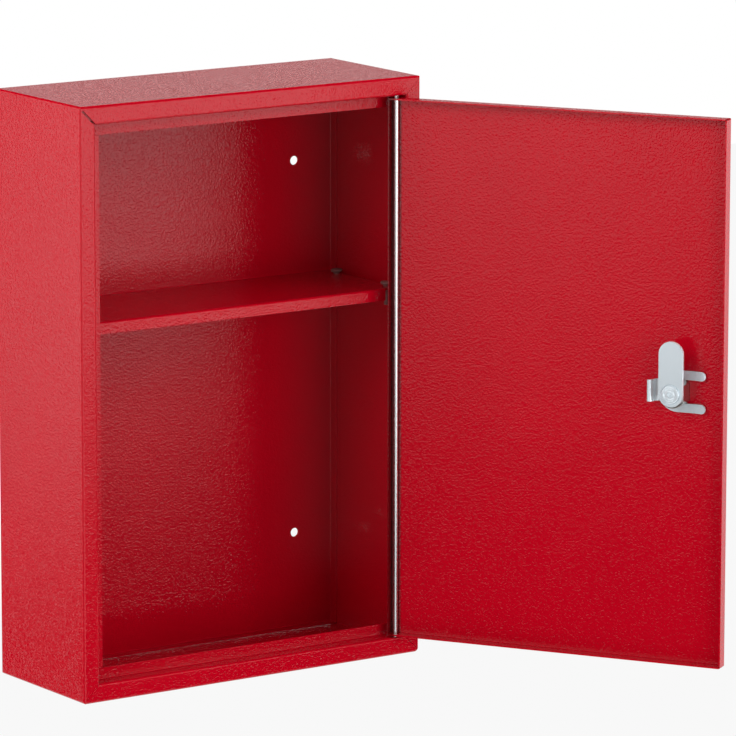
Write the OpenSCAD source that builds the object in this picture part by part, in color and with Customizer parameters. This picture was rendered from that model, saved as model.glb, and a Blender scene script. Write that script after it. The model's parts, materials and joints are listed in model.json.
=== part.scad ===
// Lockable wall cabinet for medicines, folded from sheet steel.
// Millimetres. +Z is up and -Y is the front. The origin is the middle of the
// back panel's rear face, which lies against the wall.

/* [Casing] */
// Outer width of the casing
case_w = 216; // [180:1:300]
// Outer height of the casing
case_h = 320; // [280:1:420]
// Outer depth of the casing, from the wall to the front of the frame
case_d = 85; // [70:1:140]
// Thickness of all the sheet steel
sheet = 0.8; // [0.6:0.1:1]
// Outer radius of every bend
bend_r = 1.1; // [1.1:0.05:1.15]
// Width of the front frame beside the door
face_side = 9.2; // [7:0.1:14]
// Width of the front frame above and below the door
face_end = 10; // [7:0.1:16]
// Depth of the rebate that the door lies in
rebate_d = 9.5; // [9:0.1:12]
// Width of the door stop above the door
stop_top = 7; // [4:0.5:10]
// Width of the door stop below the door
stop_bottom = 6; // [4:0.5:10]
// Width of the door stop on the lock side
stop_lock = 8; // [5:0.5:10]
// Width of the door stop on the hinge side
stop_hinge = 4.5; // [3:0.5:6]
// Open seams at the four corners of the front frame, clockwise from top left
corner_seams = [1.2, 0.1, 0.2, 0.15]; // [0.1:0.05:1.3]
// Length of frame left whole outside each corner seam
seam_bridge = 1.4; // [1.4:0.1:4]
// Chamfer where the folded strip closes, at the lower right corner
strip_notch = 2.2; // [1:0.1:3]

/* [Back panel] */
// Forward flanges of the back panel, welded inside the casing
back_flange = 6; // [5:0.5:6]
// Gap between the back panel's flanges and the casing
back_gap = 0.1; // [0.05:0.05:0.3]
// Distance between the wall screws from side to side
screw_dx = 164; // [120:1:170]
// Distance between the wall screws from top to bottom
screw_dz = 210; // [150:1:250]
// Diameter of the wall screw holes
screw_hole_d = 5; // [4:0.1:7]

/* [Shelf] */
// Height of the shelf's top above the middle of the cabinet
shelf_z = 42; // [38:1:60]
// Distance of the shelf's lip behind the front of the frame
shelf_set_back = 14.5; // [14.5:0.5:18]
// Height of the shelf's front lip
lip_h = 6.5; // [4:0.5:10]
// Distance of each end of the lip from the side walls
lip_inset = 11.8; // [8:0.1:20]
// Gap between the shelf's ends and the side walls
shelf_end_gap = 3; // [3:0.1:4]
// Gap behind the shelf
shelf_rear_gap = 1; // [0.5:0.1:3]
// Width of each leg of the shelf brackets
bracket_leg = 10; // [9:0.5:14]
// Length of the shelf brackets
bracket_len = 60; // [56:1:61]
// Distance of the shelf pins from the side walls
pin_in = 6.2; // [6:0.1:6.6]
// Distance of the front pins behind the shelf's lip
pin_front = 7.5; // [6.5:0.5:12]
// Distance of the rear pins ahead of the shelf's rear edge
pin_rear = 12.8; // [10:0.2:16]
// Diameter of the shelf pins
pin_d = 2.6; // [2:0.1:3]
// Diameter of a shelf pin's head
pin_head_d = 6.4; // [5:0.1:6.6]
// Thickness of a shelf pin's head
pin_head_t = 1.8; // [1.2:0.1:2.4]
// Height of the collar that a shelf pin rests on
pin_collar = 0.8; // [0.4:0.1:2]
// Length of a shelf pin below its collar
pin_len = 10.5; // [6:0.5:14]
// Radial clearance of the shelf pins in their holes
pin_play = 0.2; // [0.1:0.05:0.3]

/* [Door] */
// Angle that the door stands open, 0 when shut
door_open = 122; // [0:1:124]
// Gap round the door in its frame
door_gap = 1.2; // [1.1:0.05:1.5]
// Depth of the door's folded edge
door_depth = 7.5; // [6.5:0.1:7.6]
// Depth of the door's folded edge on the hinge side
hinge_lip = 5.6; // [5.2:0.1:6.4]
// Open seams at the corners of the door's folded edge
door_seam = 0.4; // [0.2:0.1:0.8]
// Distance of the hinge rod from the door's hinge edge
rod_in = 3.6; // [3.6:0.1:4]
// Distance of the hinge rod behind the front of the door
rod_back = 2.5; // [2.5:0.05:2.6]
// Diameter of the hinge rod
rod_d = 2.6; // [2:0.1:2.6]
// Radial clearance between the hinge rod and its holes
rod_play = 0.05; // [0.03:0.01:0.05]
// Length of hinge rod above the frame's upper hole
rod_rise = 4; // [2:0.5:5]

/* [Lock] */
// Distance of the lock from the door's free edge
lock_in = 28.1; // [27.8:0.1:33]
// Angle of the cam, 0 when unlocked and 90 when locked
cam_turn = 0; // [0:5:90]
// Diameter of the lock's barrel
barrel_d = 16; // [15.5:0.1:18]
// Distance across the two flats of the barrel
barrel_flats = 13; // [12.9:0.1:14]
// Diameter of the lock's rim outside the door
rim_d = 20; // [19:0.5:24]
// Height of the lock's rim
rim_h = 2.2; // [1.5:0.1:3]
// Gap between the barrel and its hole in the door
barrel_gap = 0.1; // [0.05:0.05:0.2]
// Diameter of the turning plug
plug_d = 11.8; // [11.6:0.1:12]
// Radial clearance of the plug in the barrel
plug_play = 0.05; // [0.03:0.01:0.1]
// Gap between the door stop's rear face and the cam
cam_gap = 0.7; // [0.5:0.1:1]
// Width of the cam
cam_w = 13.8; // [12:0.1:14]
// Reach of the cam from the lock's axis
cam_reach = 28.6; // [26:0.1:30]
// Thickness of the cam
cam_t = 1.8; // [1.5:0.1:2.5]
// Width of the square on the plug that carries the cam
square_w = 7; // [6:0.1:7.5]
// Diameter of the head of the rivet that holds the cam
rivet_d = 9.9; // [8.5:0.1:10.5]
// Number of wafers in the plug
wafer_count = 4; // [4]

/* [Retaining spring] */
// Width across the horseshoe spring
horseshoe_w = 22.7; // [22:0.1:26]
// Reach of the horseshoe's prongs from the lock's axis
prong_reach = 16.3; // [13:0.1:18]
// Thickness of the horseshoe spring
horseshoe_t = 1; // [0.8:0.1:1.2]
// Depth of each groove that the spring slides into
groove_d = 1.6; // [1:0.1:1.8]
// Rise of the horseshoe's prong tips away from the door
prong_lift = 1.2; // [0.5:0.1:2]
// Width of the horseshoe's thumb tab
tab_w = 11.8; // [9:0.1:13]
// Radius of the two curves of the thumb tab
tab_r = 2.6; // [2.2:0.1:3]

/* [Key] */
// Distance that the key is drawn out of the lock
key_out = 0; // [0:1:30]
// Thickness of the key
key_t = 2; // [1.8:0.1:2.2]
// Height of the key's blade
blade_h = 7.2; // [7:0.1:7.6]
// Diameter of the key's bow
bow_d = 23; // [20:0.5:28]

/* [Hidden] */
$fn = 48;

PAINT = "#b30d1e";
ZINC = "#b9c4cc";
eps = 0.01;          // overlap of joined solids and of cuts past a face

// Casing
front_y = -case_d;
inner_w = case_w - 2*sheet;
inner_h = case_h - 2*sheet;
mouth_w = case_w - 2*face_side;      // opening in the front frame
mouth_h = case_h - 2*face_end;
stop_y = front_y + rebate_d;         // front face of the door stop

// Door, drawn shut and then turned about the rod
door_w = mouth_w - 2*door_gap;
door_h = mouth_h - 2*door_gap;
rod_x = door_w/2 - rod_in;
rod_y = front_y + rod_back;
rod_hole_d = rod_d + 2*rod_play;

// Shelf
shelf_front = front_y + shelf_set_back;
shelf_rear = -sheet - shelf_rear_gap;
shelf_half = inner_w/2 - shelf_end_gap;
bracket_rear = -back_flange - 1;
bracket_front = bracket_rear - bracket_len;
pin_x = inner_w/2 - pin_in;
pin_ys = [shelf_front + pin_front, shelf_rear - pin_rear];
pin_hole_d = pin_d + 2*pin_play;
bracket_z = shelf_z - sheet;         // the shelf rests at this height

// Lock, drawn with its axis along +Z out of the door and its top along +Y
lock_x = lock_in - door_w/2;
cam_z = -(rebate_d + sheet + cam_gap);       // front face of the cam
barrel_end = cam_z + 0.4;
plug_bore_d = plug_d + 2*plug_play;
plug_face = rim_h - 0.3;
groove_z = -sheet - horseshoe_t - 0.1;
groove_half = barrel_d/2 - groove_d;         // from the axis to a groove's floor
prong_flat = -8.5;                           // the prongs are flat up to here
keyway_t = key_t + 0.3;
keyway_h = blade_h + 0.4;
wafer_t = 1;
wafer_pitch = 2.1;
wafer_first = -0.6;                          // front face of the first wafer
wafer_w = 6.6;
wafer_half = sqrt(pow(plug_d/2 - 0.25, 2) - pow(wafer_w/2, 2));
spring_d = 0.95;
spring_wire = 0.22;
spring_turns = 4;
spring_x = wafer_w/2 - spring_d/2 - 0.15;
spring_room = 0.8*wafer_half;                // height of a wafer's notch for its spring
spring_foot = 0.4;                           // rise of a spring's foot in the notch
spring_len = spring_room - spring_foot - spring_wire/2 - 0.02;
blade_len = (wafer_count - 1)*wafer_pitch + wafer_t + 0.7 - wafer_first;
rivet_h = 1.1;
rivet_seat = 0.3;                            // depth of the seat in the cam
rivet_shank_d = 3;
rivet_len = cam_t - rivet_seat - cam_z - blade_len - 1;   // stops short of the keyway

// ---------- shared shapes ----------

// Extrudes a drawing of the XZ plane from y0 back to y1.
module along_y(y0, y1) {
    translate([0, y1, 0]) rotate([90, 0, 0]) linear_extrude(y1 - y0) children();
}

module round_rect(w, h, r) {
    square([w - 2*r, h], center = true);
    square([w, h - 2*r], center = true);
    for (x = [-1, 1], y = [-1, 1])
        translate([x*(w/2 - r), y*(h/2 - r)]) circle(r);
}

// A block from y0 back to y1 with round edges of radius r along Y and round the front.
module pressed_block(w, h, y0, y1, r) {
    d = y1 - y0;
    intersection() {
        along_y(y0, y1) round_rect(w, h, r);
        translate([0, 0, -h/2 - 1]) linear_extrude(h + 2) round_front(w, y0, d, r);
        rotate([0, 90, 0]) translate([0, 0, -w/2 - 1])
            linear_extrude(w + 2) round_front(h, y0, d, r);
    }
}

module round_front(w, y0, d, r) {
    translate([-w/2, y0 + r]) square([w, d - r]);
    translate([-w/2 + r, y0]) square([w - 2*r, d]);
    for (side = [-1, 1])
        translate([side*(w/2 - r), y0 + r]) circle(r);
}

// A tray of sheet metal: a front sheet with four folded walls behind it.
module tray(w, h, y0, y1) {
    difference() {
        pressed_block(w, h, y0, y1, bend_r);
        pressed_block(w - 2*sheet, h - 2*sheet, y0 + sheet, y1 + 1, bend_r - sheet);
    }
}

// A quarter of a bend: the corner of the ring that points along [qx, qy].
module bend(qx, qy) {
    intersection() {
        difference() {
            circle(bend_r);
            circle(bend_r - sheet);
        }
        translate([qx > 0 ? 0 : -bend_r, qy > 0 ? 0 : -bend_r]) square(bend_r);
    }
}

// ---------- casing ----------

// Section of the frame's rebate. X is the distance past the edge of the mouth
// and Y the depth behind the front.
module rebate_section() {
    lap = 0.6;
    translate([-bend_r - lap, 0]) square([lap + eps, sheet]);
    translate([-bend_r, bend_r]) bend(1, -1);
    translate([-sheet, bend_r - eps]) square([sheet, rebate_d + sheet - 2*bend_r + 2*eps]);
    translate([bend_r - sheet, rebate_d + sheet - bend_r]) bend(-1, 1);
}

// Places a rebate section, drawn for one side of the mouth, half_span away
// from the centre, and extrudes it along the side.
module rim_strip(half_span, length, turn) {
    rotate([0, turn, 0]) translate([half_span, front_y, -length/2])
        linear_extrude(length) mirror([1, 0]) children();
}

// The half plane sectors in which the four strips meet at 45 degrees.
module mitre(turn, half_span, half_len) {
    out = 3;
    deep = 2;
    rotate([0, turn, 0]) along_y(front_y - 1, stop_y + 2*sheet)
        polygon([[half_span + out, half_len + out], [half_span - deep, half_len - deep],
                 [half_span - deep, deep - half_len], [half_span + out, -half_len - out]]);
}

module rebate_frame() {
    // [turn about Y, distance of the mouth's edge, length of that edge, stop, shortening]
    sides = [[0, mouth_w/2, mouth_h, stop_hinge], [180, mouth_w/2, mouth_h, stop_lock],
             [-90, mouth_h/2, mouth_w, stop_top], [90, mouth_h/2, mouth_w, stop_bottom]];
    for (s = sides) {
        intersection() {
            rim_strip(s[1], s[2] + 6, s[0]) rebate_section();
            mitre(s[0], s[1], s[2]/2);
        }
    }
    // stops above and below run the full width, and those beside butt against them
    side_z0 = -mouth_h/2 + stop_bottom + 0.3;
    side_z1 = mouth_h/2 - stop_top - 0.3;
    for (z = [mouth_h/2 - stop_top, -mouth_h/2 + bend_r - sheet])
        translate([-mouth_w/2, stop_y, z])
            cube([mouth_w, sheet, z > 0 ? stop_top - bend_r + sheet : stop_bottom - bend_r + sheet]);
    translate([mouth_w/2 - stop_hinge, stop_y, side_z0])
        cube([stop_hinge - bend_r + sheet, sheet, side_z1 - side_z0]);
    translate([-mouth_w/2 + bend_r - sheet, stop_y, side_z0])
        cube([stop_lock - bend_r + sheet, sheet, side_z1 - side_z0]);
}

module casing() {
    corners = [[-1, 1], [1, 1], [1, -1], [-1, -1]];
    lip = bend_r;
    color(PAINT) difference() {
        union() {
            difference() {
                tray(case_w, case_h, front_y, 0);
                along_y(front_y - 1, front_y + 2*sheet)
                    square([mouth_w + 2*lip, mouth_h + 2*lip], center = true);
            }
            rebate_frame();
        }
        // seams where the folded frame meets at its corners
        for (i = [0:3]) {
            reach = min(face_side, face_end) - seam_bridge;
            translate([corners[i][0]*mouth_w/2, front_y - 1, corners[i][1]*mouth_h/2])
                rotate([0, -corners[i][0]*corners[i][1]*45 + (corners[i][0] < 0 ? 180 : 0), 0])
                    translate([-2, 0, -corner_seams[i]/2])
                        cube([2 + reach*sqrt(2), 2*bend_r + 1, corner_seams[i]]);
        }
        // the closing corner of the folded strip
        translate([case_w/2, front_y - 1, -case_h/2]) rotate([0, 45, 0])
            translate([-strip_notch/sqrt(2), 0, -strip_notch])
                cube([strip_notch*2, 1 + 2*sheet, 2*strip_notch]);
        // holes for the hinge rod
        translate([rod_x, rod_y, -mouth_h/2 - 3*sheet])
            cylinder(d = rod_hole_d, h = mouth_h + 6*sheet);
    }
}

module back_panel() {
    w = inner_w - 2*back_gap;
    h = inner_h - 2*back_gap;
    color(PAINT) difference() {
        rotate([0, 0, 180]) tray(w, h, 0, back_flange);
        for (x = [-1, 1], z = [-1, 1])
            translate([x*screw_dx/2, 1, z*screw_dz/2]) rotate([90, 0, 0])
                cylinder(d = screw_hole_d, h = sheet + 2);
    }
}

// ---------- shelf ----------

module shelf() {
    lip_half = inner_w/2 - lip_inset;
    color(PAINT) difference() {
        union() {
            translate([-shelf_half, shelf_front + bend_r, shelf_z - sheet])
                cube([2*shelf_half, shelf_rear - shelf_front - bend_r, sheet]);
            translate([-lip_half, shelf_front, shelf_z]) rotate([90, 0, 90])
                linear_extrude(2*lip_half) {
                    translate([bend_r, -bend_r]) bend(-1, 1);
                    translate([0, -lip_h]) square([sheet, lip_h - bend_r + eps]);
                    translate([bend_r - eps, -sheet]) square([2*eps, sheet]);
                }
        }
        pin_holes(shelf_z);
    }
}

// Holes through one sheet whose top is at the height top.
module pin_holes(top) {
    for (side = [-1, 1], y = pin_ys)
        translate([side*pin_x, y, top - 2*sheet]) cylinder(d = pin_hole_d, h = 3*sheet);
}

// An angle welded to the side wall under one end of the shelf.
module shelf_bracket(side) {
    wall = inner_w/2;
    color(PAINT) difference() {
        mirror([side < 0 ? 1 : 0, 0, 0]) along_y(bracket_front, bracket_rear) {
            translate([wall - sheet, bracket_z - bracket_leg])
                square([sheet, bracket_leg - bend_r + eps]);
            translate([wall - bracket_leg, bracket_z - sheet])
                square([bracket_leg - bend_r + eps, sheet]);
            translate([wall - bend_r, bracket_z - bend_r]) bend(1, 1);
        }
        pin_holes(bracket_z);
    }
}

module shelf_bracket_left() { shelf_bracket(-1); }
module shelf_bracket_right() { shelf_bracket(1); }

// A drop-in pin through the shelf and its bracket, with a domed head on a collar.
module shelf_pin(side, y) {
    edge = pin_head_t/2;
    tip = pin_d/4;
    color("#b9b4b2") translate([side*pin_x, y, shelf_z]) rotate_extrude() {
        translate([0, -pin_len + tip]) square([pin_d/2, pin_len - tip + eps]);
        translate([0, -pin_len]) square([pin_d/2 - tip, pin_len]);
        translate([pin_d/2 - tip, -pin_len + tip]) circle(tip);
        square([pin_d/2 + 2*pin_play, pin_collar + eps]);
        translate([0, pin_collar]) square([pin_head_d/2 - edge, pin_head_t]);
        translate([pin_head_d/2 - edge, pin_collar + edge]) circle(edge);
    }
}

module shelf_pin_front_left() { shelf_pin(-1, pin_ys[0]); }
module shelf_pin_front_right() { shelf_pin(1, pin_ys[0]); }
module shelf_pin_rear_left() { shelf_pin(-1, pin_ys[1]); }
module shelf_pin_rear_right() { shelf_pin(1, pin_ys[1]); }

// ---------- door ----------

module on_door() {
    translate([rod_x, rod_y, 0]) rotate([0, 0, door_open]) translate([-rod_x, -rod_y, 0]) children();
}

// The rod stands on the casing's floor and passes up through frame and door.
module hinge_rod() {
    low = -case_h/2 + sheet;
    color("#d5d9dc") translate([rod_x, rod_y, low])
        cylinder(d = rod_d, h = mouth_h/2 + sheet + rod_rise - low);
}

module door_panel() {
    color(PAINT) on_door() difference() {
        tray(door_w, door_h, front_y, front_y + door_depth);
        // folded edges meet at an open seam in each corner
        for (x = [-1, 1], z = [-1, 1])
            translate([x*(door_w/2 - sheet), front_y + bend_r, z*(door_h/2 - sheet)])
                rotate([0, -x*z*45 + (x < 0 ? 180 : 0), 0])
                    translate([-sheet, 0, -door_seam/2]) cube([5*sheet, door_depth, door_seam]);
        // the folded edge beside the rod is lower than the others
        translate([door_w/2 - sheet - eps, front_y + hinge_lip, -door_h/2 - 1])
            cube([sheet + 1, door_depth, door_h + 2]);
        translate([rod_x, rod_y, -door_h/2 - 1]) cylinder(d = rod_hole_d, h = door_h + 2);
        at_lock_hole() barrel_outline(barrel_gap);
    }
}

module at_lock_hole() {
    translate([lock_x, front_y, 0]) along_y(-1, sheet + 1) children();
}

// ---------- lock ----------

module at_lock() {
    on_door() translate([lock_x, front_y, 0]) rotate([90, 0, 0]) children();
}

module at_plug() {
    at_lock() rotate([0, 0, cam_turn]) children();
}

module barrel_outline(gap) {
    intersection() {
        circle(d = barrel_d + 2*gap);
        square([barrel_flats + 2*gap, barrel_d + 1], center = true);
    }
}

module lock_barrel() {
    color(ZINC) at_lock() difference() {
        union() {
            translate([0, 0, barrel_end]) linear_extrude(-barrel_end + eps) barrel_outline(0);
            // rim with a round shoulder
            rotate_extrude() {
                square([rim_d/2 - 0.8, rim_h]);
                square([rim_d/2, rim_h - 0.8]);
                translate([rim_d/2 - 0.8, rim_h - 0.8]) circle(0.8);
            }
        }
        translate([0, 0, barrel_end - 1]) cylinder(d = plug_bore_d, h = rim_h - barrel_end + 2);
        // grooves for the horseshoe spring
        for (side = [-1, 1])
            translate([-barrel_d, side > 0 ? groove_half : -barrel_d, groove_z - 0.05])
                cube([2*barrel_d, barrel_d - groove_half, horseshoe_t + 0.1]);
    }
}

// Height of the spring strip above its groove: the prong tips curl away from the door.
function tip_lift(x) = let (past = prong_flat - x)
    past <= 0 ? 0 : prong_lift*(1 - cos(90*past/(prong_reach + prong_flat)));

// The horseshoe that holds the barrel against the door.
module horseshoe_spring() {
    slot_half = groove_half + 0.05;
    prong_w = horseshoe_w/2 - slot_half;
    tab_x = sqrt(pow(horseshoe_w/2, 2) - pow(tab_w/2, 2));
    strip_x = [for (i = [0:8]) -prong_reach - 0.2 + i*(prong_reach + prong_flat + 0.2)/8];
    strip = concat([for (x = strip_x) [x, -tip_lift(x)]], [[horseshoe_w, 0], [horseshoe_w, horseshoe_t]],
                   [for (i = [8:-1:0]) [strip_x[i], horseshoe_t - tip_lift(strip_x[i])]]);
    color(ZINC) at_lock() {
        intersection() {
            translate([0, 0, groove_z - prong_lift - 1]) linear_extrude(prong_lift + horseshoe_t + 2)
                horseshoe_plan(slot_half, prong_w, tab_x);
            translate([0, horseshoe_w, groove_z]) rotate([90, 0, 0])
                linear_extrude(2*horseshoe_w) polygon(strip);
        }
        // thumb tab, rolled away from the door and then flat again
        translate([tab_x + 0.5, tab_w/2, groove_z + horseshoe_t]) rotate([90, 0, 0])
            linear_extrude(tab_w) {
                translate([-eps, -tab_r - horseshoe_t/2]) roll(1, 1);
                translate([2*tab_r - eps, -tab_r - horseshoe_t/2]) roll(-1, -1);
            }
    }
}

module horseshoe_plan(slot_half, prong_w, tab_x) {
    difference() {
        union() {
            circle(d = horseshoe_w);
            for (side = [-1, 1]) {
                translate([-prong_reach + prong_w/2, side > 0 ? slot_half : -horseshoe_w/2])
                    square([prong_reach - prong_w/2, prong_w]);
                translate([-prong_reach + prong_w/2, side*(slot_half + prong_w/2)])
                    circle(d = prong_w);
            }
        }
        intersection() {
            circle(d = barrel_d + 2*barrel_gap);
            square([horseshoe_w, 2*slot_half], center = true);
        }
        translate([-horseshoe_w, -slot_half]) square([horseshoe_w, 2*slot_half]);
    }
    translate([tab_x - 1, -tab_w/2]) square([1.5, tab_w]);
}

// A quarter turn of spring strip whose middle line has radius tab_r.
module roll(qx, qy) {
    outer = tab_r + horseshoe_t/2;
    intersection() {
        difference() {
            circle(outer);
            circle(outer - horseshoe_t);
        }
        translate([qx > 0 ? 0 : -outer, qy > 0 ? 0 : -outer]) square(outer);
    }
}

module lock_plug() {
    color("#c9cdd1") at_plug() difference() {
        union() {
            translate([0, 0, cam_z]) cylinder(d = plug_d, h = plug_face - cam_z);
            translate([-square_w/2, -square_w/2, cam_z - cam_t + rivet_seat])
                cube([square_w, square_w, cam_t - rivet_seat + eps]);
        }
        // keyway
        translate([-keyway_t/2, -keyway_h/2, -blade_len - 0.3])
            cube([keyway_t, keyway_h, blade_len + rim_h + 1]);
        // one slot through the plug for each wafer, wide enough for its spring
        for (i = [0:wafer_count - 1])
            translate([-wafer_w/2 - 0.05, -plug_d, wafer_top(i) - wafer_t - 0.05])
                cube([wafer_w + 0.1, 2*plug_d, wafer_t + 0.1]);
        translate([0, 0, cam_z - cam_t - 1])
            cylinder(d = rivet_shank_d + 0.04, h = rivet_len + rivet_seat + 1.2);
    }
}

function wafer_top(i) = wafer_first - i*wafer_pitch;

// A brass wafer with a window for the key and a lug that its spring presses on.
module wafer(i) {
    color("#c8a24a") at_plug() translate([0, 0, wafer_top(i) - wafer_t])
        linear_extrude(wafer_t) difference() {
            square([wafer_w, 2*wafer_half], center = true);
            square([keyway_t, keyway_h], center = true);
            translate([spring_x, -wafer_half])
                square([spring_d + 0.3, 2*spring_room], center = true);
        }
}

module wafer_1() { wafer(0); }
module wafer_2() { wafer(1); }
module wafer_3() { wafer(2); }
module wafer_4() { wafer(3); }

// A tube of radius r along the points of a path, closed by flat ends.
module tube(path, r, sides) {
    last = len(path) - 1;
    points = [for (i = [0:last])
        let (t = path[min(i + 1, last)] - path[max(i - 1, 0)],
             u = cross(t, [0, 0, 1])/norm(cross(t, [0, 0, 1])),
             v = cross(t, u)/norm(t))
        for (k = [0:sides - 1]) path[i] + r*(u*cos(360*k/sides) + v*sin(360*k/sides))];
    walls = [for (i = [0:last - 1], k = [0:sides - 1])
        let (a = i*sides + k, b = i*sides + (k + 1) % sides)
        for (triangle = [[a, b + sides, b], [a, a + sides, b + sides]]) triangle];
    ends = [[for (k = [0:sides - 1]) k],
            [for (k = [sides - 1:-1:0]) last*sides + k]];
    polyhedron(points = points, faces = concat(walls, ends));
}

// A coil spring beside the window of each wafer.
module wafer_springs() {
    steps = 8;
    r = (spring_d - spring_wire)/2;
    coil = [for (i = [0:spring_turns*steps])
        [r*cos(360*i/steps), r*sin(360*i/steps), spring_len*i/(spring_turns*steps)]];
    color("#d9dadb") at_plug() for (i = [0:wafer_count - 1])
        translate([spring_x, spring_foot - wafer_half, wafer_top(i) - wafer_t/2])
            rotate([-90, 0, 0]) tube(coil, spring_wire/2, 5);
}

// A pressed tongue with a round end and a shallow seat for the rivet's head.
module lock_cam() {
    color(ZINC) at_plug() translate([0, 0, cam_z - cam_t]) difference() {
        linear_extrude(cam_t) difference() {
            union() {
                circle(d = cam_w);
                translate([-cam_w/2, 0]) square([cam_w, cam_reach - cam_w/2]);
                translate([0, cam_reach - cam_w/2]) circle(d = cam_w);
            }
            square(square_w + 0.1, center = true);
        }
        translate([0, 0, -1]) cylinder(d = rivet_d + 1, h = 1 + rivet_seat);
    }
}

module cam_rivet() {
    color("#d5dade") at_plug() translate([0, 0, cam_z - cam_t + rivet_seat]) {
        cylinder(d = rivet_shank_d, h = rivet_len);
        rotate([180, 0, 0]) rotate_extrude() difference() {
            union() {
                square([rivet_d/2, rivet_h/2]);
                square([rivet_d/2 - rivet_h/2, rivet_h]);
                translate([rivet_d/2 - rivet_h/2, rivet_h/2]) circle(rivet_h/2);
            }
            translate([0, rivet_h + 0.5]) circle(1.4);
            translate([rivet_d/4 + 0.4, rivet_h + 0.5]) circle(0.8);
            translate([-rivet_d, -1]) square([rivet_d, 2*rivet_h + 2]);
        }
    }
}

// ---------- key ----------

module key() {
    neck = 3;
    shoulder_w = blade_h + 3;
    notch_r = 0.9;
    color("#c4c8cb") at_plug() translate([0, 0, key_out]) rotate([90, 0, 90])
        translate([0, 0, -key_t/2]) linear_extrude(key_t) difference() {
            union() {
                translate([-blade_h/2, -blade_len]) square([blade_h, blade_len + rim_h + 1]);
                translate([-shoulder_w/2, rim_h + 0.3]) square([shoulder_w, neck + 2]);
                translate([0, rim_h + neck + bow_d/2]) circle(d = bow_d);
            }
            translate([0, rim_h + neck + bow_d*0.7]) circle(d = bow_d*0.22);
            // cuts for the wafers, on both edges
            for (i = [0:wafer_count - 1], side = [-1, 1])
                translate([side*(blade_h/2 + notch_r*(0.2 + 0.25*((i*2 + side + 1) % 3))),
                           wafer_top(i) - wafer_t/2])
                    circle(notch_r);
            for (side = [-1, 1])
                translate([side*blade_h/2, -blade_len]) rotate(45) square(blade_h*0.45, center = true);
        }
}

casing();
back_panel();
shelf();
shelf_bracket_left();
shelf_bracket_right();
shelf_pin_front_left();
shelf_pin_front_right();
shelf_pin_rear_left();
shelf_pin_rear_right();
hinge_rod();
door_panel();
lock_barrel();
horseshoe_spring();
lock_plug();
wafer_1();
wafer_2();
wafer_3();
wafer_4();
wafer_springs();
lock_cam();
cam_rivet();
key();
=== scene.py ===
"""Looks of the lockable medicine cabinet: red powder coat, plated lock, bright hinge rod."""

import json
import math

import bmesh
import bpy
from mathutils import Matrix, Vector


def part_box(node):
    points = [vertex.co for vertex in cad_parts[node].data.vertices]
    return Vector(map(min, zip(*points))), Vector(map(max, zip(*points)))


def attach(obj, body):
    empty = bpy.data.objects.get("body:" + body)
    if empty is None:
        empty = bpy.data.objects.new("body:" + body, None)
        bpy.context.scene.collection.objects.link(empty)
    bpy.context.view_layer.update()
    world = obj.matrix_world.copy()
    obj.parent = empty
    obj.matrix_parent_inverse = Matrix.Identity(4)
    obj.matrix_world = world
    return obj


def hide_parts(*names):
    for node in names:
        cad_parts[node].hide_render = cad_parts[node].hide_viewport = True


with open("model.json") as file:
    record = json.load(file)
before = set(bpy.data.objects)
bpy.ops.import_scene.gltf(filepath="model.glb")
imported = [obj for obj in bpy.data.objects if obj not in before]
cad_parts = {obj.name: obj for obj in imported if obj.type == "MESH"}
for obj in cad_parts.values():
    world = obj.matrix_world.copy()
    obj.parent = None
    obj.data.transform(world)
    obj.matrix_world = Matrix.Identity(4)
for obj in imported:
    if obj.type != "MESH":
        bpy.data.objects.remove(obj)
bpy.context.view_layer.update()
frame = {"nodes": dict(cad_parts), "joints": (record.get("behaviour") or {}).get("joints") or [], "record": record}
NODES = frame["nodes"]
MM = 0.001

# ---------------------------------------------------------------- measures taken from the frame

casing_low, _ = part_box("casing")
JOINTS = {joint["name"]: joint for joint in frame["joints"]}
HINGE_X, HINGE_Y, _ = JOINTS["door_swing"]["pos_m"]
DOOR_OUT = Vector(JOINTS["lock_turn"]["axis"]).normalized()      # out of the door's front face
BODY_OF = {node: body for body, nodes in frame["record"]["behaviour"]["bodies"].items()
           for node in nodes}


# ---------------------------------------------------------------- colour and node helpers

def linear(code, alpha=1.0):
    """sRGB hex to linear light: each channel by the standard curve."""
    parts = [int(code[i:i + 2], 16) / 255 for i in (1, 3, 5)]
    return tuple(c / 12.92 if c <= 0.04045 else ((c + 0.055) / 1.055) ** 2.4
                 for c in parts) + (alpha,)


def put(tree, kind, links=(), **settings):
    """Adds one node, sets its properties and sockets, and links (socket, source output) pairs.
    A socket's name is written with _ for a space."""
    node = tree.nodes.new(kind)
    for key, value in settings.items():
        if hasattr(node, key):
            setattr(node, key, value)
        else:
            node.inputs[key.replace("_", " ")].default_value = value
    for socket, source in links:
        tree.links.new(source, node.inputs[socket])
    return node


def finish_named(name):
    """An empty material of that name with its node tree and output node."""
    material = bpy.data.materials.new(name)
    material.use_nodes = True
    tree = material.node_tree
    tree.nodes.clear()
    return material, tree, tree.nodes.new("ShaderNodeOutputMaterial")


def per_metre(size_mm):
    """Texture scale whose features are about size_mm wide, on coordinates in metres."""
    return 1000.0 / size_mm


def dress(nodes, material):
    """Puts a material on CAD nodes in every slot."""
    for name in nodes:
        mesh = NODES[name].data
        mesh.materials.clear()
        mesh.materials.append(material)


# ---------------------------------------------------------------- materials

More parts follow.
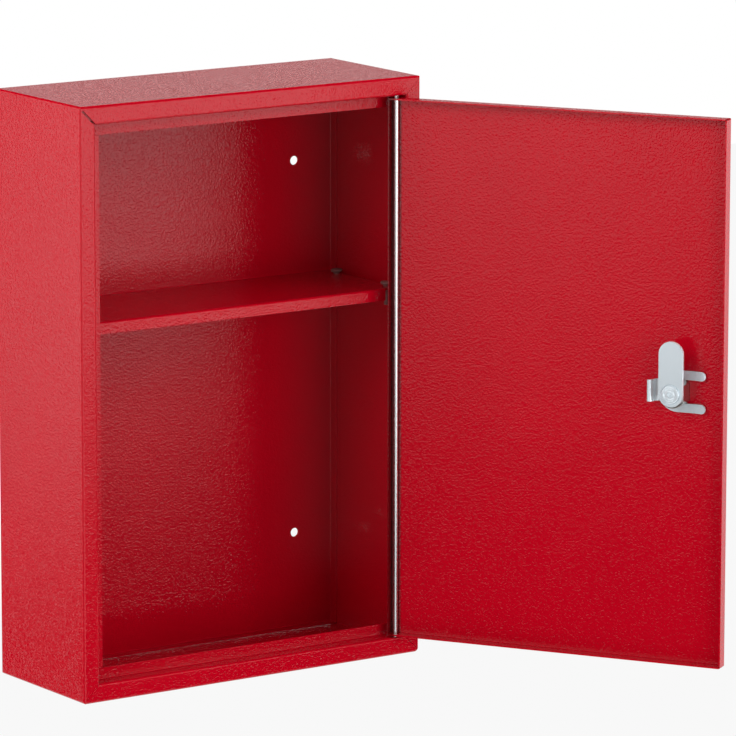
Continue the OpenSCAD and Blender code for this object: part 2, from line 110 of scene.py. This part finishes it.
# Powder coat: pigment under a clear glossy skin, on sheet steel.
RED_FULL, RED_DEEP = "#b3041a", "#a90217"     # the tone drifts between these over a sheet
DRIFT_MM = 60.0
WRINKLE_MM = 1.35             # one cell of the wrinkle, drawn about as coarse as it needs to show
WRINKLE_DEPTH_MM = 0.08
WRINKLE_SOFTNESS = 0.1
PIGMENT_SHARE = 0.5           # of the wrinkle's depth, which the pigment under the skin follows
PEEL_MM, PEEL_DEPTH_MM = 9.0, 0.03            # slow orange peel of the skin
PIGMENT_ROUGHNESS = 0.6
SKIN_ROUGHNESS = 0.04
SKIN_IOR = 1.5

# Painted shade: a darker red on the inside of the door along the rod, where the hinge edge and the rod keep the
# light off.
HINGE_SHADE_TONE = "#5c0208"
HINGE_SHADE_STRENGTH = 0.9
HINGE_SHADE_X, HINGE_SHADE_Y = HINGE_X - 2.2 * MM, HINGE_Y + 1.6 * MM         # the line it lies along
HINGE_SHADE_FULL, HINGE_SHADE_GONE = 4.6 * MM, 6.4 * MM                       # radii where it fades
FACES_IN, FACES_OUT = 0.3, 0.6                # share of DOOR_OUT in a face's direction


def powder_coat(name, shaded_at_hinge=False):
    """Polyester powder coat, sprayed and oven cured. The eye gets a strong even red, a sharp gloss
    over it, and a fine leather wrinkle that shows where a lamp's edge is mirrored. The wrinkle is
    the distance to the nearest cell's middle plus a noise of half its size, and it bends the
    skin's direction in full and the pigment's by a share. The second argument paints shade into
    the pigment: a darker red by the distance from an upright line beside the hinge rod, on faces
    that look into the cabinet."""
    material, tree, out = finish_named(name)
    where = put(tree, "ShaderNodeTexCoord").outputs["Object"]
    folds = put(tree, "ShaderNodeTexNoise", [("Vector", where)],
                Scale=per_metre(WRINKLE_MM / 2), Detail=0.0, Roughness=0.4)
    cells = put(tree, "ShaderNodeTexVoronoi", [("Vector", where)],
                feature="SMOOTH_F1", Scale=per_metre(WRINKLE_MM), Smoothness=WRINKLE_SOFTNESS)
    wrinkle = put(tree, "ShaderNodeMath",
                  [(0, cells.outputs["Distance"]), (1, folds.outputs["Fac"])], operation="ADD")
    peel = put(tree, "ShaderNodeTexNoise", [("Vector", where)],
               Scale=per_metre(PEEL_MM), Detail=1.0)
    peeled = put(tree, "ShaderNodeBump", [("Height", peel.outputs["Fac"])],
                 Strength=1.0, Distance=PEEL_DEPTH_MM * MM)
    skin = put(tree, "ShaderNodeBump",
               [("Height", wrinkle.outputs[0]), ("Normal", peeled.outputs["Normal"])],
               Strength=1.0, Distance=WRINKLE_DEPTH_MM * MM)
    pigment = put(tree, "ShaderNodeBump", [("Height", wrinkle.outputs[0])],
                  Strength=1.0, Distance=WRINKLE_DEPTH_MM * PIGMENT_SHARE * MM)
    drift = put(tree, "ShaderNodeTexNoise", [("Vector", where)],
                Scale=per_metre(DRIFT_MM), Detail=3.0)
    tint = put(tree, "ShaderNodeMix", [("Factor", drift.outputs["Fac"])], data_type="RGBA")
    tint.inputs["A"].default_value = linear(RED_DEEP)
    tint.inputs["B"].default_value = linear(RED_FULL)
    if shaded_at_hinge:
        # Painted shade: the pigment turns dark red near the hinge rod, on faces that look into the cabinet.
        across = put(tree, "ShaderNodeMapping", [("Vector", where)],
                     Location=(-HINGE_SHADE_X, -HINGE_SHADE_Y, 0), Scale=(1, 1, 0))
        away = put(tree, "ShaderNodeVectorMath", [(0, across.outputs[0])], operation="LENGTH")
        near = put(tree, "ShaderNodeMapRange", [("Value", away.outputs["Value"])],
                   interpolation_type="SMOOTHSTEP", From_Min=HINGE_SHADE_FULL, From_Max=HINGE_SHADE_GONE,
                   To_Min=HINGE_SHADE_STRENGTH, To_Max=0.0)
        side = put(tree, "ShaderNodeVectorMath",
                   [(0, put(tree, "ShaderNodeTexCoord").outputs["Normal"])],
                   operation="DOT_PRODUCT")
        side.inputs[1].default_value = DOOR_OUT
        inside = put(tree, "ShaderNodeMapRange", [("Value", side.outputs["Value"])],
                     From_Min=FACES_IN, From_Max=FACES_OUT, To_Min=1.0, To_Max=0.0)
        painted_shade = put(tree, "ShaderNodeMath", [(0, near.outputs[0]), (1, inside.outputs[0])],
                  operation="MULTIPLY")
        tint = put(tree, "ShaderNodeMix",
                   [("Factor", painted_shade.outputs[0]), ("A", tint.outputs["Result"])], data_type="RGBA")
        tint.inputs["B"].default_value = linear(HINGE_SHADE_TONE)
    shader = put(tree, "ShaderNodeBsdfPrincipled",
                 [("Base Color", tint.outputs["Result"]), ("Normal", pigment.outputs["Normal"]),
                  ("Coat Normal", skin.outputs["Normal"])],
                 Roughness=PIGMENT_ROUGHNESS, Specular_IOR_Level=0.0,
                 Coat_Weight=1.0, Coat_Roughness=SKIN_ROUGHNESS, Coat_IOR=SKIN_IOR)
    tree.links.new(shader.outputs[0], out.inputs["Surface"])
    return material


GLOSS_LEAST, GLOSS_MOST = 0.75, 1.3           # of a metal's roughness, over its mottle
LINE_PITCH_MM = 0.35                          # die and rolling lines, drawn coarser to show
ROUND, DRAWN_UPRIGHT = (1, 1, 1), (1, 1, 0.02)


def plated_metal(name, tone, roughness, mottle_mm, grain=ROUND, line_mm=0.004, metallic=1.0):
    """Metal of a pressed, drawn or cast part, bare or plated. Its roughness drifts over mottle_mm,
    which gives slow soft patches in the gloss, and a faint noise line_mm deep, stretched along
    the grain where the part was drawn, breaks up the highlights. Metallic is under 1 where a
    milky passivated film on the plating gives a pale matt share."""
    material, tree, out = finish_named(name)
    where = put(tree, "ShaderNodeTexCoord").outputs["Object"]
    mottle = put(tree, "ShaderNodeTexNoise", [("Vector", where)],
                 Scale=per_metre(mottle_mm), Detail=4.0)
    gloss = put(tree, "ShaderNodeMapRange", [("Value", mottle.outputs["Fac"])],
                To_Min=roughness * GLOSS_LEAST, To_Max=roughness * GLOSS_MOST)
    along = put(tree, "ShaderNodeMapping", [("Vector", where)], Scale=grain)
    lines = put(tree, "ShaderNodeTexNoise", [("Vector", along.outputs[0])],
                Scale=per_metre(LINE_PITCH_MM), Detail=3.0)
    bump = put(tree, "ShaderNodeBump", [("Height", lines.outputs["Fac"])],
               Strength=1.0, Distance=line_mm * MM)
    shader = put(tree, "ShaderNodeBsdfPrincipled",
                 [("Roughness", gloss.outputs[0]), ("Normal", bump.outputs["Normal"])],
                 Base_Color=linear(tone), Metallic=metallic)
    tree.links.new(shader.outputs[0], out.inputs["Surface"])
    return material


dress(["casing", "back_panel", "shelf", "shelf_bracket_left", "shelf_bracket_right"],
      powder_coat("powder_coat_red"))
# The door's coat carries painted shade along the hinge rod.
dress(["door_panel"], powder_coat("powder_coat_red_painted_hinge_shade", shaded_at_hinge=True))

# Bright zinc on pressed steel: pale blue-grey and half mirror, half milky.
zinc = plated_metal("bright_zinc_plate", "#e0eaf0", 0.15, 4.0, line_mm=0.001, metallic=0.42)
# Nickel on a zinc casting: a warm grey mirror, a little soft.
nickel = plated_metal("nickel_plated_casting", "#c9c8c4", 0.2, 6.0)
dress(["lock_plug"], nickel)
# Bright drawn steel: nearly white, with die lines along its length.
dress(["hinge_rod", "wafer_springs"],
      plated_metal("drawn_bright_steel", "#eeeef0", 0.22, 8.0, grain=DRAWN_UPRIGHT, line_mm=0.001))
# Stamped brass sheet: yellow, satin from the press.
dress(["wafer_1", "wafer_2", "wafer_3", "wafer_4"],
      plated_metal("stamped_brass", "#c9a857", 0.3, 3.0))
# Barrel-plated zinc pins: dull, with a brownish red tone that is a painted reflection of the red cabinet around
# them.
dress([name for name in NODES if name.startswith("shelf_pin")],
      plated_metal("dull_zinc_plate_painted_red_reflection", "#8f6a66", 0.55, 2.0, metallic=0.5))


# ---------------------------------------------------------------- pieces with softened edges

MERGE_MM = 0.002              # corners nearer than this are one corner
FLAT_DEGREES = 0.5            # faces that turn less than this are one face
SHARP_DEGREES = 35.0          # edges that turn more than this are rounded


def softened(node, edge_mm, material):
    """A copy of a CAD node in place of it, whose loose triangles are merged, whose flat faces are
    made whole, and whose sharp edges are rounded to edge_mm."""
    work = bmesh.new()
    work.from_mesh(NODES[node].data)
    bmesh.ops.remove_doubles(work, verts=work.verts, dist=MERGE_MM * MM)
    bmesh.ops.dissolve_limit(work, angle_limit=math.radians(FLAT_DEGREES),
                             verts=work.verts, edges=work.edges)
    mesh = bpy.data.meshes.new(node + "_softened")
    work.to_mesh(mesh)
    work.free()
    mesh.materials.clear()
    mesh.materials.append(material)
    mesh.shade_smooth()
    mesh.set_sharp_from_angle(angle=math.radians(SHARP_DEGREES))
    piece = bpy.data.objects.new(node + "_softened", mesh)
    bpy.context.scene.collection.objects.link(piece)
    bevel = piece.modifiers.new("rounded_edges", "BEVEL")
    bevel.width = edge_mm * MM
    bevel.segments = 3
    bevel.limit_method = "ANGLE"
    bevel.angle_limit = math.radians(SHARP_DEGREES)
    bevel.harden_normals = True
    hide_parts(node)
    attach(piece, BODY_OF[node])


softened("lock_cam", 0.45, zinc)
softened("horseshoe_spring", 0.3, zinc)
softened("cam_rivet", 0.15, zinc)
softened("lock_barrel", 0.2, nickel)
softened("key", 0.25, nickel)


# ---------------------------------------------------------------- stage and lamps

FLOOR_DROP = 0.9              # the cabinet hangs this far above the floor
FLOOR_NEAR, FLOOR_FAR = -1.5, 6.0
FLOOR_TONE = "#f4f4f4"
FLOOR_SHADOW = 0.15           # share of its own shading that the floor shows
SWEEP_DIRECTION = (0.86, 0.51, 0.0)           # toward the middle of the white sweep
SWEEP_EDGE = (0.5, 0.8)                       # share of that direction where its side fades
SWEEP_FADE = (-0.05, 0.21)                    # steepness where it darkens upward
SCREEN_DIRECTION = (-0.5, -0.86, 0.0)         # toward the white screen behind the camera
SCREEN_EDGE = (0.86, 0.93)
SCREEN_LEVEL = 0.9
AMBIENT = 0.6                 # strength of the room's even light on matt surfaces


def seen_directly(tree):
    """Two outputs: 1 for a camera ray, and 1 for a ray that a glossy or clear surface sent on."""
    path = put(tree, "ShaderNodeLightPath")
    sent_on = put(tree, "ShaderNodeMath", [(0, path.outputs["Is Glossy Ray"]),
                                           (1, path.outputs["Is Transmission Ray"])],
                  operation="MAXIMUM")
    return path.outputs["Is Camera Ray"], sent_on.outputs[0]


def white_floor(name):
    """Seen directly or in a mirror it is plain white and keeps a share of its shading, so the
    object's shadow stays. To diffuse light it is a plain pale surface."""
    material, tree, out = finish_named(name)
    pale = put(tree, "ShaderNodeBsdfDiffuse", Color=linear(FLOOR_TONE))
    glow = put(tree, "ShaderNodeEmission", Strength=1.0)
    camera_ray, mirror_ray = seen_directly(tree)
    seen = put(tree, "ShaderNodeMath", [(0, camera_ray), (1, mirror_ray)], operation="MAXIMUM")
    share = put(tree, "ShaderNodeMath", [(0, seen.outputs[0])], operation="MULTIPLY")
    share.inputs[1].default_value = 1 - FLOOR_SHADOW
    mixed = put(tree, "ShaderNodeMixShader",
                [(0, share.outputs[0]), (1, pale.outputs[0]), (2, glow.outputs[0])])
    tree.links.new(mixed.outputs[0], out.inputs["Surface"])
    return material


def stage_sheet(name, corners, material):
    """A flat four-sided sheet of the stage."""
    mesh = bpy.data.meshes.new(name)
    mesh.from_pydata([Vector(c) for c in corners], [], [(0, 1, 2, 3)])
    mesh.materials.append(material)
    sheet = bpy.data.objects.new(name, mesh)
    bpy.context.scene.collection.objects.link(sheet)


def studio():
    """A white studio. Seen directly it is white. A mirror sees that white toward the rear right,
    where a white sweep stands and darkens upward, and behind the camera, where a white screen
    stands. Elsewhere the room is dark in a mirror, and to matt surfaces it gives plain even
    light."""
    world = bpy.data.worlds.new("studio")
    bpy.context.scene.world = world
    world.use_nodes = True
    tree = world.node_tree
    tree.nodes.clear()
    out = tree.nodes.new("ShaderNodeOutputWorld")
    camera_ray, mirror_ray = seen_directly(tree)
    toward = put(tree, "ShaderNodeTexCoord").outputs["Generated"]
    facing = put(tree, "ShaderNodeVectorMath", [(0, toward)], operation="DOT_PRODUCT")
    facing.inputs[1].default_value = SWEEP_DIRECTION
    width = put(tree, "ShaderNodeMapRange", [("Value", facing.outputs["Value"])],
                interpolation_type="SMOOTHSTEP", From_Min=SWEEP_EDGE[0], From_Max=SWEEP_EDGE[1])
    height = put(tree, "ShaderNodeSeparateXYZ", [(0, toward)]).outputs["Z"]
    rise = put(tree, "ShaderNodeMapRange", [("Value", height)],
               interpolation_type="SMOOTHSTEP", From_Min=SWEEP_FADE[0], From_Max=SWEEP_FADE[1],
               To_Min=1.0, To_Max=0.0)
    sweep = put(tree, "ShaderNodeMath", [(0, width.outputs[0]), (1, rise.outputs[0])],
                operation="MULTIPLY")
    behind = put(tree, "ShaderNodeVectorMath", [(0, toward)], operation="DOT_PRODUCT")
    behind.inputs[1].default_value = SCREEN_DIRECTION
    screen = put(tree, "ShaderNodeMapRange", [("Value", behind.outputs["Value"])],
                 interpolation_type="SMOOTHSTEP", From_Min=SCREEN_EDGE[0],
                 From_Max=SCREEN_EDGE[1], To_Max=SCREEN_LEVEL)
    bright = put(tree, "ShaderNodeMath", [(0, sweep.outputs[0]), (1, screen.outputs[0])],
                 operation="MAXIMUM")
    mirrored = put(tree, "ShaderNodeMath", [(0, bright.outputs[0]), (1, mirror_ray)],
                   operation="MULTIPLY")
    white_share = put(tree, "ShaderNodeMath", [(0, camera_ray), (1, mirrored.outputs[0])],
                      operation="MAXIMUM")
    even = put(tree, "ShaderNodeMapRange", [("Value", mirror_ray)], To_Min=AMBIENT, To_Max=0.0)
    room = put(tree, "ShaderNodeBackground", [("Strength", even.outputs[0])], Color=(1, 1, 1, 1))
    white = put(tree, "ShaderNodeBackground", Color=(1, 1, 1, 1), Strength=1.0)
    mixed = put(tree, "ShaderNodeMixShader",
                [(0, white_share.outputs[0]), (1, room.outputs[0]), (2, white.outputs[0])])
    tree.links.new(mixed.outputs[0], out.inputs["Surface"])


# name, centre, direction that it faces, width, height, radiance
PANELS = [
    ("side_low", (-1.4, -0.25, -0.05), (1, 0, 0), 1.0, 0.4, 0.9),
    ("side_mid", (-1.4, -0.25, 0.35), (1, 0, 0), 1.0, 0.4, 1.1),
    ("side_high", (-1.3, -0.25, 0.95), (0.92, 0, -0.4), 1.0, 0.8, 5.0),
    ("rear_left", (-1.2, 1.05, 0.05), (0.6, -0.8, 0), 0.95, 0.9, 1.05),
    ("rear_left_high", (-1.0, 1.2, 0.95), (0.6, -0.8, 0), 1.3, 0.9, 4.2),
    ("front_sheen", (0.92, -1.45, -0.08), (-0.5, 0.86, 0), 0.8, 0.5, 1.55),
    ("front_low", (0.15, -1.65, -0.1), (-0.05, 1, 0), 0.7, 0.5, 2.6),
    ("front_mid", (0.15, -1.65, 0.4), (-0.05, 0.98, -0.15), 0.7, 0.4, 3.7),
    ("front_right_high", (0.75, -1.3, 0.9), (-0.45, 0.75, -0.45), 0.6, 0.6, 5.3),
    ("right_high", (1.2, -0.9, 0.8), (-0.8, 0.6, -0.2), 0.9, 0.8, 3.5),
    ("rear_high", (0.2, 1.3, 0.95), (0, -1, 0), 1.6, 0.7, 1.7),
]
# Panels above the object light it, and leave no white image of themselves in a level gloss.
NOT_IN_THE_GLOSS = {"side_high", "rear_left_high", "front_mid", "front_right_high",
                    "right_high", "rear_high"}


def soft_panel(name, centre, facing, width, height, radiance):
    """An upright or level diffusing panel of even radiance, whose front looks along facing. Its
    power is pi times its area times its radiance."""
    lamp = bpy.data.lights.new(name, "AREA")
    lamp.shape = "RECTANGLE"
    lamp.size = width
    lamp.size_y = height
    lamp.energy = radiance * math.pi * width * height
    holder = bpy.data.objects.new(name, lamp)
    holder.visible_camera = False
    holder.visible_glossy = name not in NOT_IN_THE_GLOSS
    bpy.context.scene.collection.objects.link(holder)
    turn = Vector(facing).to_track_quat("-Z", "Y").to_matrix().to_4x4()
    holder.matrix_world = Matrix.Translation(Vector(centre)) @ turn


floor_z = casing_low.z - FLOOR_DROP
stage_sheet("floor", [(FLOOR_NEAR, FLOOR_NEAR, floor_z), (FLOOR_FAR, FLOOR_NEAR, floor_z),
                      (FLOOR_FAR, FLOOR_FAR, floor_z), (FLOOR_NEAR, FLOOR_FAR, floor_z)],
            white_floor("stage_white"))
studio()
for panel in PANELS:
    soft_panel(*panel)


# ---------------------------------------------------------------- camera

def aim_camera(azimuth, elevation, roll, place_mm, focal_px, picture_px=736, sensor_mm=36.0):
    """A camera at place that looks along azimuth (from the front, towards +X) and down by
    elevation, turned by roll about its line of sight. All angles are in degrees."""
    a, e, r = (math.radians(v) for v in (azimuth, elevation, roll))
    back = Vector((math.sin(a) * math.cos(e), -math.cos(a) * math.cos(e), math.sin(e)))
    level = Vector((math.cos(a), math.sin(a), 0.0))
    upright = back.cross(level)
    right = level * math.cos(r) + upright * math.sin(r)
    up = upright * math.cos(r) - level * math.sin(r)
    camera = bpy.data.cameras.new("camera")
    camera.sensor_width = sensor_mm
    camera.lens = sensor_mm * focal_px / picture_px
    camera.clip_end = 50
    holder = bpy.data.objects.new("camera", camera)
    bpy.context.scene.collection.objects.link(holder)
    turn = Matrix((right, up, back)).transposed().to_4x4()
    holder.matrix_world = Matrix.Translation(Vector(place_mm) * MM) @ turn
    bpy.context.scene.camera = holder


aim_camera(azimuth=-34.44, elevation=10.79, roll=0.07,
           place_mm=(-1687.7, -2653.9, 596.2), focal_px=5844)

bpy.context.scene.view_settings.view_transform = "Standard"
